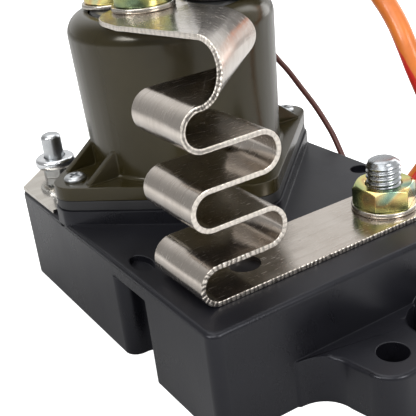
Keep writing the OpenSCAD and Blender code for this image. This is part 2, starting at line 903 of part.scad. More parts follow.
// The tongue that lies on the header, with its round end past the stud
function tongue_stations() = concat(
    [[[tongue_x - tongue_left - 0.3, relay_y - 24, tongue_z + 0.5],
        [tongue_x + tongue_right, relay_y - 20.5, tongue_z + 0.2], unit([0.02, 0.05, -1])]],
    [[[tongue_x - tongue_left, relay_y - 20, tongue_z], [tongue_x + tongue_right, relay_y - 16, tongue_z], [0, 0, -1]]],
    [for (a = [0, 15, 30, 42, 54, 64, 73, 80]) let (y = tongue_round_y + tongue_left * sin(a))
        [[tongue_x - tongue_left * cos(a), y, tongue_z],
            [tongue_x + min(tongue_right, tongue_left * cos(a)), y, tongue_z], [0, 0, -1]]]);

module shunt_strip() {
    color([0.74, 0.72, 0.7])
        difference() {
            band(concat(end_stations(), fold_stations(), cone_stations(), tongue_stations()), strip_t);
            translate([base_stud_x, strip_mid, base_h - 1])
                cylinder(r = stud_r + hole_gap, h = strip_t + 2);
            translate([strip_hole_x, strip_mid, base_h - 1])
                cylinder(r = strip_hole_r, h = strip_t + 2);
            translate([tongue_x, tongue_y, header_top - 1])
                cylinder(r = stud_r + hole_gap, h = strip_t + 2);
        }
}

module base_stud() {
    color([0.78, 0.78, 0.77])
        translate([base_stud_x, strip_mid, cavity_z])
            stud(stud_r, base_top + base_stud_rise, stud_r + 2.4, stud_head_t);
}

module base_washer() {
    color([0.78, 0.78, 0.77])
        translate([base_stud_x, strip_mid, base_h + strip_t])
            tube(washer_r, stud_r + hole_gap, washer_t);
}

module base_nut() {
    color([0.8, 0.72, 0.4])
        translate([base_stud_x, strip_mid, base_h + strip_t + washer_t])
            rotate([0, 0, 32])
                hex_nut(nut_flats, base_nut_t, stud_r + thread_gap);
}

// Thin plate on the back left corner, kept clear of the relay's raised seat
module corner_plate() {
    color([0.74, 0.72, 0.7])
        translate([0, 0, base_h])
            difference() {
                linear_extrude(plate_t)
                    difference() {
                        intersection() {
                            base_outline(0.3);
                            translate([-base_w / 2, plate_front_y])
                                square([plate_inner_x + base_w / 2, plate_back_y - plate_front_y]);
                        }
                        translate([0, relay_y])
                            lozenge(0.8);
                    }
                translate([corner_x, corner_y, -1])
                    cylinder(r = corner_stud_r + hole_gap, h = plate_t + 2);
            }
}

module corner_stud() {
    color([0.78, 0.78, 0.77])
        translate([corner_x, corner_y, cavity_z])
            stud(corner_stud_r, base_top + corner_stud_rise, corner_stud_r + 1.4, stud_head_t);
}

// Thick washer with rounded rims, held over the small nut
module corner_washer() {
    bore_r = corner_stud_r + hole_gap;
    round_r = corner_washer_t * 0.38;
    color([0.78, 0.78, 0.77])
        translate([corner_x, corner_y, base_h + plate_t + corner_nut_t])
            rotate_extrude()
                polygon(concat([[bore_r, 0]],
                    [for (a = [0:30:90]) [corner_washer_r - round_r * (1 - sin(a)), round_r * (1 - cos(a))]],
                    [for (a = [0:30:90]) [corner_washer_r - round_r * (1 - cos(a)),
                        corner_washer_t - round_r * (1 - sin(a))]],
                    [[bore_r, corner_washer_t]]));
}

module corner_nut() {
    color([0.75, 0.75, 0.74])
        translate([corner_x, corner_y, base_h + plate_t])
            rotate([0, 0, 20])
                hex_nut(corner_nut_flats, corner_nut_t, corner_stud_r + thread_gap);
}

// A round bar swept through points, with its rings turned about a fixed side direction
module sweep(points, r, sides, side) {
    n = len(points);
    rings = [for (i = [0:n - 1]) let (
        along = unit(points[min(i + 1, n - 1)] - points[max(i - 1, 0)]),
        u = unit(cross(side, along)),
        v = cross(along, u))
        each [for (k = [0:sides - 1]) let (a = 360 * k / sides) points[i] + r * (u * cos(a) + v * sin(a))]];
    walls = [for (i = [0:n - 2], k = [0:sides - 1]) let (
        a = sides * i + k, b = sides * i + (k + 1) % sides)
        each [[a, b, b + sides], [a, b + sides, a + sides]]];
    polyhedron(rings, concat(walls, [[for (k = [sides - 1:-1:0]) k]],
        [[for (k = [0:sides - 1]) sides * (n - 1) + k]]));
}

module orange_lead() {
    color([0.88, 0.48, 0.18])
        sweep(orange_route, orange_r, 12, [0, 1, 0.35]);
}

module brown_lead() {
    color([0.36, 0.2, 0.18])
        sweep(brown_route, brown_r, 8, [0, 1, -1.2]);
}

// Rubber ring that carries a lead through the base's right wall
module grommet(wire_r, y, z) {
    neck = wire_r + 1.4;
    color([0.1, 0.1, 0.1])
        translate([base_w / 2, y, z])
            rotate([0, 90, 0])
                difference() {
                    union() {
                        translate([0, 0, -base_wall])
                            cylinder(r = neck - 0.1, h = base_wall + 0.1);
                        cylinder(r = neck + 1.3, h = grommet_lip);
                    }
                    translate([0, 0, -base_wall - 1])
                        cylinder(r = wire_r + 0.1, h = base_wall + grommet_lip + 2);
                }
}

module orange_grommet() {
    grommet(orange_r, orange_y, orange_z);
}

module brown_grommet() {
    grommet(brown_r, brown_y, brown_z);
}

base_housing();
potting_block();
circuit_board();
board_parts();
relay_pad();
relay_housing();
relay_header();
relay_screws();
coil_bobbin();
coil_winding();
pole_plate();
plunger();
contact_insulator();
contact_disc();
return_spring();
load_stud();
feed_stud();
coil_stud_boot();
coil_stud_open();
load_washer();
load_lock_washer();
load_nut();
feed_flat_washer();
feed_washer();
feed_nut();
boot_ring_terminal();
boot_nut();
terminal_boot();
open_ring_terminal();
open_nut();
shunt_strip();
base_stud();
base_washer();
base_nut();
corner_plate();
corner_stud();
corner_washer();
corner_nut();
orange_lead();
brown_lead();
orange_grommet();
brown_grommet();
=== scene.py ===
"""Looks of the glow plug relay: metres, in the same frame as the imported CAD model."""

import math

import bmesh
import bpy
from mathutils import Matrix, Vector


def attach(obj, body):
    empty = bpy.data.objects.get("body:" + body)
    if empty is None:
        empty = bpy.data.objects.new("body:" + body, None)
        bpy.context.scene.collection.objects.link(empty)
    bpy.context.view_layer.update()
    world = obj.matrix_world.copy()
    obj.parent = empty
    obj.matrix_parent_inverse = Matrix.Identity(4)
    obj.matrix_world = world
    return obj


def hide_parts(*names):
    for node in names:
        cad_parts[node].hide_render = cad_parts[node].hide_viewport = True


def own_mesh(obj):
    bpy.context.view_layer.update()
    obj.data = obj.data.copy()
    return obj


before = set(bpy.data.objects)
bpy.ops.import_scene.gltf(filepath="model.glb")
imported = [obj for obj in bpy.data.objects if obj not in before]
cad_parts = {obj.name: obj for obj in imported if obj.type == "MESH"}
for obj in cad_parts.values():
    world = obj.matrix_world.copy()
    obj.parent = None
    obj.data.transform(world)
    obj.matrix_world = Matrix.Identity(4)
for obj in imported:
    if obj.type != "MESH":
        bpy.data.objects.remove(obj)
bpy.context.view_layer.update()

MM = 0.001
BODY = "relay_base"

# Sizes repeated from part.scad, in millimetres
WALL_X, FRONT_Y, BASE_H, CAVITY_Z = 37.5, 53.5, 25.0, 22.0
EAR_X, EAR_Y, EAR_H, EAR_HOLE_R = -2.6, 63.7, 11.2, 3.3
RIM_START, RIM_ROUND, EAR_ROOT_HALF = 2.2, 1.0, 18
RELAY_Y = 14.5
HEADER_Z, HEADER_TOP, TRAVEL = 69.0, 72.1, 2.0
STUD_X, STUD_Y, STUD_R, STUD_RISE = 11.0, 8.3, 3.97, 12.0
STUD_HEAD_R, STUD_HEAD_T = 4.6, 4.0
COIL_STUD_R, COIL_STUD_RISE = 2.4, 7.5
NUT_FLATS, NUT_T, WASHER_T, LOCK_T, THREAD_GAP = 12.7, 4.8, 1.2, 2.4, 0.05
STRIP_T, STRIP_W, STRIP_Y, STRIP_Z = 1.1, 18.4, -45.7, 25.55
STRIP_MID = STRIP_Y + STRIP_W / 2
PITCH, FOLDS, BEND_LEFT, BEND_RIGHT = 7.9, 5, -29.35, -17.15
STRIP_END, END_CORNER = 30.0, 2.5
STRIP_TOP = STRIP_Z + FOLDS * PITCH
EDGE_SPAN = 250
TONGUE_Z = HEADER_TOP + STRIP_T / 2
FOLD_ANGLE = math.radians(54)
NEAR_R, FAR_R, NEAR_LIFT, FAR_LIFT = 3.7, 9.3, 3.0, 0.9
TONGUE_LEFT, TONGUE_RIGHT = 13.1, 9.0
HOLE_X, HOLE_R = -17.9, 3.5
BASE_STUD_X, BASE_STUD_RISE = 21.15, 13.1
CORNER_X, CORNER_Y, CORNER_RISE, CORNER_STUD_R = -26.1, 43.3, 13.0, 2.7

# Courses of the leads, as in part.scad: out of the terminal, then down beside the right wall.
# Each step down is (distance from the wall, y, share of the height still to fall).
ORANGE_R, BROWN_R = 2.5, 0.8
ORANGE_FROM, ORANGE_Z = (STUD_X, RELAY_Y - STUD_Y, 78.5), 13
BROWN_FROM, BROWN_Z = (STUD_X, RELAY_Y + STUD_Y, HEADER_TOP), 13
ORANGE_START = [(5.8, -2.1, 0), (11.1, -4, 0), (16, -5.8, 0.1), (21.5, -7.8, 1), (26.8, -10.4, -0.6)]
ORANGE_FALL = [(4.2, -9.5, 0.9), (5.7, -15, 0.8), (5.6, -18.9, 0.733), (5.2, -22.2, 0.664),
    (5.5, -25.2, 0.573), (7.5, -27, 0.464), (10.1, -27, 0.359), (12.5, -25, 0.26), (12.9, -22, 0.171),
    (10.5, -19.6, 0.09), (6.3, -18.7, 0.027), (2, -18.5, 0), (-8, -18.5, 0)]
BROWN_START = [(3.6, 3.6, 1.72), (7.5, 7.2, 2.3), (12, 10.2, 0), (16.5, 12.2, -4.1), (20.5, 12.7, -9.1)]
BROWN_FALL = [(-2.5, 34.2, 0.748), (0.4, 31, 0.646), (2.1, 26.6, 0.557), (3.1, 22.9, 0.499),
    (3.7, 18.2, 0.428), (3.9, 13.1, 0.362), (3.8, 8.9, 0.303), (3.5, 4.9, 0.242), (2.9, 1, 0.169),
    (2.5, -2.4, 0.091), (2.4, -4.8, 0.027), (2, -6, 0), (-8, -6, 0)]


def course(start, steps, fall, low):
    """A lead's points in millimetres, from its terminal to the inside of the wall."""
    out = [tuple(a + b for a, b in zip(start, step)) for step in steps]
    return out + [(WALL_X + x, y, low + share * (start[2] - low)) for x, y, share in fall]


ORANGE_ROUTE = course(ORANGE_FROM, ORANGE_START, ORANGE_FALL, ORANGE_Z)
BROWN_ROUTE = course(BROWN_FROM, BROWN_START, BROWN_FALL, BROWN_Z)


# ---- Materials ----


class Finish:
    """A node material: one Principled shader, with constants on its sockets and textures linked to them."""

    def __init__(self, name, **constants):
        self.material = bpy.data.materials.new(name)
        self.material.use_nodes = True
        self.tree = self.material.node_tree
        self.shader = self.tree.nodes["Principled BSDF"]
        self.normal = None
        for socket, value in constants.items():
            self.shader.inputs[socket.replace("_", " ")].default_value = value

    def add(self, kind, **settings):
        node = self.tree.nodes.new("ShaderNode" + kind)
        for key, value in settings.items():
            setattr(node, key, value)
        return node

    def link(self, source, target):
        self.tree.links.new(source, target)

    def place(self, scale=(1, 1, 1), uv=False):
        """Object coordinates in metres, or the piece's own UV in millimetres, stretched by scale."""
        where = self.add("TexCoord").outputs["UV" if uv else "Object"]
        mapping = self.add("Mapping")
        mapping.inputs["Scale"].default_value = scale
        self.link(where, mapping.inputs["Vector"])
        return mapping.outputs["Vector"]

    def noise(self, where, scale, detail=3.0, rough=0.55, warp=0.0):
        node = self.add("TexNoise")
        self.link(where, node.inputs["Vector"])
        node.inputs["Scale"].default_value = scale
        node.inputs["Detail"].default_value = detail
        node.inputs["Roughness"].default_value = rough
        node.inputs["Distortion"].default_value = warp
        return node.outputs["Fac"]

    def level(self, value, low, high, to_low, to_high):
        """Maps a value from low..high to to_low..to_high, held at the ends."""
        node = self.add("MapRange")
        self.link(value, node.inputs["Value"])
        for socket, number in zip(("From Min", "From Max", "To Min", "To Max"), (low, high, to_low, to_high)):
            node.inputs[socket].default_value = number
        return node.outputs["Result"]

    def maths(self, operation, a, b):
        node = self.add("Math", operation=operation)
        for socket, value in zip(node.inputs, (a, b)):
            if isinstance(value, (int, float)):
                socket.default_value = value
            else:
                self.link(value, socket)
        return node.outputs[0]

    def ramp(self, value, stops):
        """Colour by value: stops are (place, (r, g, b))."""
        node = self.add("ValToRGB")
        while len(node.color_ramp.elements) < len(stops):
            node.color_ramp.elements.new(0.5)
        for element, (place, colour) in zip(node.color_ramp.elements, stops):
            element.position = place
            element.color = (*colour, 1)
        self.link(value, node.inputs["Fac"])
        return node.outputs["Color"]

    def strength(self, value, stops):
        """A plain strength by value: stops are (place, strength)."""
        return self.ramp(value, [(place, (level, level, level)) for place, level in stops])

    def mix(self, share, a, b):
        """Colour a turning to colour b by share; each is a socket or (r, g, b)."""
        node = self.add("Mix", data_type="RGBA")
        self.link(share, node.inputs["Factor"])
        for socket, value in ((node.inputs[6], a), (node.inputs[7], b)):
            if isinstance(value, tuple):
                socket.default_value = (*value, 1)
            else:
                self.link(value, socket)
        return node.outputs[2]

    def colour(self, value):
        self.link(value, self.shader.inputs["Base Color"])

    def rough(self, value):
        self.link(value, self.shader.inputs["Roughness"])

    def bump(self, height, depth, strength=1.0):
        """Adds relief of the given depth in metres; calls stack."""
        node = self.add("Bump")
        node.inputs["Distance"].default_value = depth
        node.inputs["Strength"].default_value = strength
        self.link(height, node.inputs["Height"])
        if self.normal:
            self.link(self.normal, node.inputs["Normal"])
        self.normal = node.outputs["Normal"]
        self.link(self.normal, self.shader.inputs["Normal"])

    def dots(self, where, scale, size, share):
        """Tiny round specks, in only a share of the cells they could stand in."""
        cells = self.add("TexVoronoi")
        self.link(where, cells.inputs["Vector"])
        cells.inputs["Scale"].default_value = scale
        split = self.add("SeparateXYZ")
        self.link(cells.outputs["Color"], split.inputs[0])
        chosen = self.level(split.outputs["X"], 1 - share, 1.001 - share, 0, 1)
        return self.maths("MULTIPLY", chosen, self.level(cells.outputs["Distance"], size * 0.7, size, 1, 0))

    def edges(self, radius):
        """A mask that is near 1 on edges, from how far a rounded normal leaves the true one."""
        soft = self.add("Bevel", samples=6)
        soft.inputs["Radius"].default_value = radius
        true = self.add("NewGeometry")
        node = self.add("VectorMath", operation="DOT_PRODUCT")
        self.link(soft.outputs["Normal"], node.inputs[0])
        self.link(true.outputs["Normal"], node.inputs[1])
        return self.level(node.outputs["Value"], 0.72, 0.995, 1, 0)


def moulded(name, dark, light, rough, grain, rub_and_edge_highlight=None, level=0.5, dust=0.0, sheen=(1.0, 1.0, 1.0), top=0.0):
    """Moulded plastic or rubber: cloudy colour, fine grain, faint scuffs, paler edges that are partly rubbed
    and partly a painted highlight, and dust.
    """
    f = Finish(name, Specular_IOR_Level=level, Specular_Tint=(*sheen, 1.0))
    where = f.place()
    cloud = f.noise(where, 70, 4)
    speck = f.noise(where, 2600, 2)
    scuff = f.noise(f.place((260, 180, 60)), 1.0, 5, 0.75, 1.2)
    tone = f.mix(f.level(cloud, 0.35, 0.68, 0, 1), dark, light)
    # Edges painted paler in patches: partly rubbing, partly a painted highlight along the edges
    if rub_and_edge_highlight:
        edge_highlight_share = f.maths("MULTIPLY", f.edges(0.0004), f.level(f.noise(where, 500, 3), 0.42, 0.62, 0.1, 0.8))
        tone = f.mix(edge_highlight_share, tone, rub_and_edge_highlight)
    if dust:
        tone = f.mix(f.dots(where, 170, 0.022, dust), tone, (0.30, 0.30, 0.30))
    f.colour(tone)
    wear = f.level(f.maths("ADD", cloud, f.maths("MULTIPLY", scuff, 0.6)), 0.5, 1.1, rough[0], rough[1])
    if top:
        split = f.add("SeparateXYZ")
        f.link(f.add("NewGeometry").outputs["Normal"], split.inputs[0])
        wear = f.maths("ADD", wear, f.level(split.outputs["Z"], 0.9, 0.99, 0, top))
    f.rough(wear)
    f.bump(speck, grain)
    return f


def metal(name, tone, shade, rough, grain, stretch=(1, 1, 1)):
    """Plated or plain metal: uneven tone, fine grain and handling marks."""
    f = Finish(name, Metallic=1.0)
    where = f.place(stretch)
    cloud = f.noise(where, 160, 4)
    marks = f.noise(f.place((200, 1500, 200)), 1.0, 5, 0.7)
    f.colour(f.mix(f.level(cloud, 0.35, 0.7, 0, 1), tone, shade))
    f.rough(f.level(f.maths("ADD", cloud, marks), 0.7, 1.3, rough[0], rough[1]))
    f.bump(f.noise(where, 1800, 3), grain)
    f.bump(marks, grain * 0.5)
    return f


def yellow_zinc():
    """Yellow chromate on zinc: soft patches of gold, green and pink that run into each other."""
    f = Finish("yellow_zinc_plate", Metallic=1.0)
    where = f.place()
    drift = f.noise(where, 105, 1.5, 0.45, 0.8)
    tone = f.ramp(f.level(drift, 0.28, 0.72, 0, 1), [(0.0, (0.16, 0.22, 0.13)), (0.2, (0.42, 0.48, 0.20)),
        (0.4, (0.68, 0.66, 0.26)), (0.55, (0.76, 0.66, 0.24)), (0.67, (0.70, 0.47, 0.20)),
        (0.78, (0.62, 0.58, 0.30)), (0.9, (0.40, 0.52, 0.34)), (1.0, (0.26, 0.40, 0.30))])
    f.colour(tone)
    f.rough(f.level(f.noise(where, 500, 4), 0.35, 0.7, 0.16, 0.3))
    f.bump(f.noise(where, 900, 3), 0.00001)
    return f


def strip_face():
    """Bright nickel: soft streaks along the strip, a few short scuffs and slow waves in the flats."""
    f = Finish("nickel_face", Metallic=1.0)
    along = f.noise(f.place((0.06, 1.1, 1), uv=True), 1.0, 3, 0.55)
    scuffs = f.level(f.noise(f.place((0.35, 3.6, 1), uv=True), 1.0, 3, 0.65), 0.62, 0.7, 0, 1)
    cloud = f.noise(f.place((0.12, 0.16, 1), uv=True), 1.0, 3)
    waves = f.noise(f.place((0.07, 0.05, 1), uv=True), 1.0, 1)
    tone = f.mix(f.level(cloud, 0.35, 0.7, 0, 1), (0.63, 0.575, 0.52), (0.55, 0.495, 0.44))
    tone = f.mix(f.level(along, 0.5, 0.75, 0, 0.45), tone, (0.42, 0.37, 0.32))
    f.colour(f.mix(f.maths("MULTIPLY", scuffs, 0.3), tone, (0.74, 0.70, 0.65)))
    wear = f.level(f.maths("ADD", along, cloud), 0.7, 1.4, 0.15, 0.27)
    f.rough(f.maths("ADD", wear, f.maths("MULTIPLY", scuffs, 0.2)))
    f.bump(waves, 0.0008)
    f.bump(along, 0.000012)
    f.bump(scuffs, 0.000006)
    return f


def strip_edge():
    """The strip's sheared edge: close cross marks with bright lands, painted shade in the gaps between them,
    and dark torn spots.
    """
    f = Finish("nickel_edge", Metallic=1.0)
    marks = f.add("TexWave", wave_profile="SIN")
    f.link(f.place((1, 0.25, 1), uv=True), marks.inputs["Vector"])
    for socket, value in (("Scale", 0.29), ("Distortion", 4.5), ("Detail", 2.0), ("Detail Scale", 2.0)):
        marks.inputs[socket].default_value = value
    torn = f.noise(f.place((0.8, 0.9, 1), uv=True), 1.0, 3, 0.6)
    split = f.add("SeparateXYZ")
    f.link(f.place(uv=True), split.inputs[0])
    along = f.level(split.outputs["X"], 0, EDGE_SPAN, 0, 1)
    # How strong the marks, the painted shade in their gaps and the dark spots are, by place along the strip
    deep = f.strength(along, [(0.0, 0.8), (0.3, 0.8), (0.37, 0.16), (0.67, 0.18), (0.71, 0.75), (0.755, 0.6),
        (0.8, 0.2), (1.0, 0.15)])
    # Painted shade in the recessed gaps between the raised marks
    gap = f.maths("MULTIPLY", f.level(marks.outputs["Fac"], 0.5, 0.15, 0, 1), deep)
    tone = f.mix(gap, (0.78, 0.72, 0.65), (0.10, 0.085, 0.07))
    spots = f.maths("MULTIPLY", f.level(torn, 0.54, 0.66, 0, 0.9), deep)
    tone = f.mix(spots, tone, (0.12, 0.10, 0.085))
    # A shallow sheared groove along the middle of the edge, with painted shade on it in patches from the top
    # fold through the cone
    drift = f.noise(f.place((0.11, 0, 1), uv=True), 1.0, 3, 0.6)
    offset = f.maths("ADD", split.outputs["Y"], f.level(torn, 0.3, 0.7, -0.45, 0.45))
    middle = f.level(f.maths("ABSOLUTE", offset, 0), 0.5, 0.9, 1, 0)
    zone = f.strength(along, [(0.56, 0.0), (0.62, 0.55), (0.70, 1.0), (0.76, 0.85), (0.8, 0.0)])
    groove_and_painted_shade = f.maths("MULTIPLY", f.maths("MULTIPLY", middle, zone), f.level(drift, 0.4, 0.52, 0.45, 1))
    # Painted shade along the groove
    f.colour(f.mix(groove_and_painted_shade, tone, (0.05, 0.043, 0.037)))
    f.rough(f.level(torn, 0.35, 0.7, 0.24, 0.5))
    f.bump(f.maths("MULTIPLY", marks.outputs["Fac"], deep), 0.00012)
    f.bump(groove_and_painted_shade, -0.00008)
    f.bump(torn, 0.00012)
    return f


def insulation(name, colour, shade, stripe=None):
    """Extruded lead insulation: slightly uneven, with a tracer line along it where there is one."""
    f = Finish(name, Specular_IOR_Level=0.45, Coat_Weight=0.15)
    cloud = f.noise(f.place(), 260, 3)
    tone = f.mix(f.level(cloud, 0.35, 0.7, 0, 1), colour, shade)
    if stripe:
        split = f.add("SeparateXYZ")
        f.link(f.place(uv=True), split.inputs[0])
        waver = f.level(f.noise(f.place(), 120, 2), 0.3, 0.7, -0.012, 0.012)
        wave = f.maths("ADD", split.outputs["Y"], waver)
        wave = f.maths("ADD", wave, f.level(split.outputs["X"], 46, 62, -0.17, 0.02))
        inside = f.maths("MULTIPLY", f.level(wave, 0.535, 0.55, 0, 1), f.level(wave, 0.68, 0.695, 1, 0))
        tone = f.mix(inside, tone, stripe)
    f.colour(tone)
    f.rough(f.level(cloud, 0.35, 0.7, 0.3, 0.45))
    f.bump(f.noise(f.place((0.25, 3, 1), uv=True), 1.0, 3), 0.00003)
    f.bump(cloud, 0.00004)
    return f


def winding():
    """Enamelled copper wire, wound in close turns."""
    f = Finish("copper_wire", Metallic=1.0)
    turns = f.add("TexWave", bands_direction="Z")
    f.link(f.place(), turns.inputs["Vector"])
    turns.inputs["Scale"].default_value = 480
    cloud = f.noise(f.place(), 200, 3)
    f.colour(f.mix(f.level(cloud, 0.35, 0.7, 0, 1), (0.72, 0.32, 0.14), (0.52, 0.20, 0.08)))
    f.rough(f.level(cloud, 0.35, 0.7, 0.2, 0.4))
    f.bump(turns.outputs["Fac"], 0.00012)
    return f


# The base and relay plastics get paler edges, partly a painted highlight
BASE_PLASTIC = moulded("base_plastic_black", (0.0055, 0.0055, 0.0075), (0.0085, 0.0085, 0.0115),
    (0.24, 0.34), 0.00002, rub_and_edge_highlight=(0.03, 0.03, 0.034), level=0.34, dust=0.12, sheen=(0.92, 0.93, 1.0), top=0.12)
RELAY_PLASTIC = moulded("relay_plastic_brown", (0.023, 0.018, 0.006), (0.030, 0.024, 0.009), (0.16, 0.25),
    0.000008, rub_and_edge_highlight=(0.10, 0.09, 0.06), level=0.42, sheen=(1.0, 0.96, 0.86))
HEADER_PLASTIC = moulded("header_plastic", (0.012, 0.012, 0.012), (0.02, 0.02, 0.02), (0.35, 0.5), 0.00002)
RUBBER = moulded("soft_black_rubber", (0.010, 0.010, 0.010), (0.018, 0.018, 0.018), (0.45, 0.62), 0.00003)
PAD = moulded("pad_foam_rubber", (0.010, 0.010, 0.011), (0.02, 0.02, 0.022), (0.4, 0.6), 0.00005)
POTTING = moulded("potting_compound", (0.006, 0.006, 0.007), (0.014, 0.014, 0.015), (0.18, 0.4), 0.00008)
BOARD = moulded("circuit_board_green", (0.012, 0.09, 0.035), (0.02, 0.13, 0.05), (0.25, 0.4), 0.00001)
BOARD_PARTS = moulded("board_parts_epoxy", (0.015, 0.015, 0.016), (0.03, 0.03, 0.032), (0.4, 0.6), 0.00002)
BOBBIN = moulded("bobbin_nylon", (0.60, 0.56, 0.44), (0.68, 0.64, 0.52), (0.35, 0.5), 0.00002)
ZINC = metal("bright_zinc", (0.55, 0.565, 0.575), (0.40, 0.42, 0.44), (0.24, 0.4), 0.00001)
WASHER = metal("washer_plate", (0.60, 0.565, 0.51), (0.46, 0.42, 0.37), (0.18, 0.32), 0.00001)
STUD = metal("stud_zinc", (0.42, 0.435, 0.45), (0.29, 0.31, 0.33), (0.2, 0.34), 0.00001)
DISC = metal("disc_zinc", (0.76, 0.77, 0.78), (0.60, 0.62, 0.64), (0.16, 0.3), 0.00001)
STEEL = metal("plain_steel_ground", (0.52, 0.51, 0.50), (0.40, 0.39, 0.38), (0.25, 0.42), 0.00002)
TINNED = metal("tinned_brass", (0.62, 0.60, 0.54), (0.50, 0.48, 0.42), (0.25, 0.4), 0.00001)
PLATE = metal("nickel_plate_thin", (0.60, 0.565, 0.51), (0.50, 0.465, 0.415), (0.07, 0.16), 0.000004,
    stretch=(0.4, 2, 2))
COPPER = metal("contact_copper", (0.80, 0.42, 0.26), (0.62, 0.30, 0.18), (0.2, 0.35), 0.00001)
YELLOW_ZINC = yellow_zinc()
STRIP_FACE = strip_face()
STRIP_EDGE = strip_edge()
ORANGE = insulation("orange_pvc", (0.73, 0.20, 0.034), (0.64, 0.165, 0.028), (0.66, 0.03, 0.022))
BROWN = insulation("brown_pvc", (0.12, 0.036, 0.028), (0.09, 0.026, 0.02))
WINDING = winding()


# ---- Pieces ----


def shown(name, mesh, finishes, nodes, body=BODY):
    """Puts a finished mesh in the scene in the place of its CAD nodes."""
    piece = bpy.data.objects.new(name, mesh)
    bpy.context.scene.collection.objects.link(piece)
    while len(mesh.materials) > len(finishes):
        mesh.materials.pop()
    for place, finish in enumerate(finishes):
        if place < len(mesh.materials):
            mesh.materials[place] = finish.material
        else:
            mesh.materials.append(finish.material)
    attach(piece, body)
    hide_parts(*nodes)
    return piece


def with_modifiers(mesh, *modifiers):
    """The mesh after the given modifiers, each one (kind, settings)."""
    holder = bpy.data.objects.new("holder", mesh)
    bpy.context.scene.collection.objects.link(holder)
    for kind, settings in modifiers:
        modifier = holder.modifiers.new(kind.lower(), kind)
        for key, value in settings.items():
            setattr(modifier, key, value)
    evaluated = holder.evaluated_get(bpy.context.evaluated_depsgraph_get())
    result = bpy.data.meshes.new_from_object(evaluated)
    bpy.data.objects.remove(holder)
    return result


def smoothed(mesh, angle=38):
    """Smooth shading with crisp edges above the angle, weighted so that flats stay flat."""
    mesh.shade_smooth()
    mesh.set_sharp_from_angle(angle=math.radians(angle))
    return with_modifiers(mesh, ("WEIGHTED_NORMAL", {"keep_sharp": True, "weight": 80}))


def clean_copy(node):
    """A CAD node's surface as a welded mesh with its flats joined up."""
    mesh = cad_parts[node].data.copy()
    form = bmesh.new()
    form.from_mesh(mesh)
    bmesh.ops.remove_doubles(form, verts=form.verts, dist=1e-6)
    bmesh.ops.dissolve_limit(form, angle_limit=math.radians(0.6), verts=form.verts, edges=form.edges)
    form.to_mesh(mesh)
    form.free()
    if "custom_normal" in mesh.attributes:
        mesh.attributes.remove(mesh.attributes["custom_normal"])
    return mesh


def on_ear_rim(vertex):
    """Whether a point is on an ear's top, clear of the base's wall and of the ear's hole."""
    x, y, z = vertex.co.x / MM, abs(vertex.co.y / MM), vertex.co.z / MM
    from_hole = math.hypot(x - EAR_X, y - EAR_Y)
    return abs(z - EAR_H) < 0.05 and y > FRONT_Y + RIM_START and from_hole > EAR_HOLE_R + 0.7


def ear_rim(edge):
    """The upper outer edges of the two ears."""
    return edge.calc_face_angle(0) > 1 and all(on_ear_rim(v) for v in edge.verts)


def joined_up(mesh):
    """The mesh with the tiny facets at the ears' roots merged."""
    form = bmesh.new()
    form.from_mesh(mesh)
    root = [v for v in form.verts if FRONT_Y - 0.1 < abs(v.co.y / MM) < FRONT_Y + 0.75
        and abs(v.co.x / MM - EAR_X) < EAR_ROOT_HALF]
    bmesh.ops.remove_doubles(form, verts=root, dist=0.25 * MM)
    form.to_mesh(mesh)
    form.free()
    return mesh


def rounded(mesh, chosen, radius):
    """The mesh with a wider round on the chosen edges."""
    form = bmesh.new()
    form.from_mesh(mesh)
    bmesh.ops.bevel(form, geom=[e for e in form.edges if chosen(e)], offset=radius * MM, segments=4,
        profile=0.5, affect="EDGES", clamp_overlap=False)
    form.to_mesh(mesh)
    form.free()
    return mesh


def broken_edges(node, finish, width, segments=2, angle=38, body=BODY):
    """A CAD node's form with its sharp edges broken by a small round."""
    bevel = ("BEVEL", {"width": width * MM, "segments": segments, "limit_method": "ANGLE",
        "angle_limit": math.radians(angle), "use_clamp_overlap": False, "miter_outer": "MITER_ARC"})
    mesh = clean_copy(node)
    if node == "base_housing":
        mesh = rounded(joined_up(mesh), ear_rim, RIM_ROUND)
    return shown(node + "_piece", smoothed(with_modifiers(mesh, bevel)), [finish], [node], body)


def grid_mesh(name, rows, closed_ends=True):
    """A closed tube mesh from rings of points in millimetres."""
    form = bmesh.new()
    rings = [[form.verts.new(Vector(p) * MM) for p in row] for row in rows]
    count = len(rows[0])
    for low, high in zip(rings, rings[1:]):
        for k in range(count):
            form.faces.new((low[k], low[(k + 1) % count], high[(k + 1) % count], high[k]))
    if closed_ends:
        form.faces.new(list(reversed(rings[0])))
        form.faces.new(rings[-1])
    mesh = bpy.data.meshes.new(name)
    form.to_mesh(mesh)
    form.free()
    return mesh


def lay_uv(mesh, along, around):
    """UV from each ring's length along and each point's place around, both in millimetres or turns."""
    count = len(around) - 1
    layer = mesh.uv_layers.new(name="Along")
    for face in mesh.polygons:
        if len(face.vertices) != 4:
            continue
        columns = [v % count for v in face.vertices]
        wraps = max(columns) == count - 1 and min(columns) == 0 and count > 2
        for loop, vertex, column in zip(face.loop_indices, face.vertices, columns):
            place = around[count] if wraps and column == 0 else around[column]
            layer.data[loop].uv = (along[vertex // count], place)


# The shunt strip


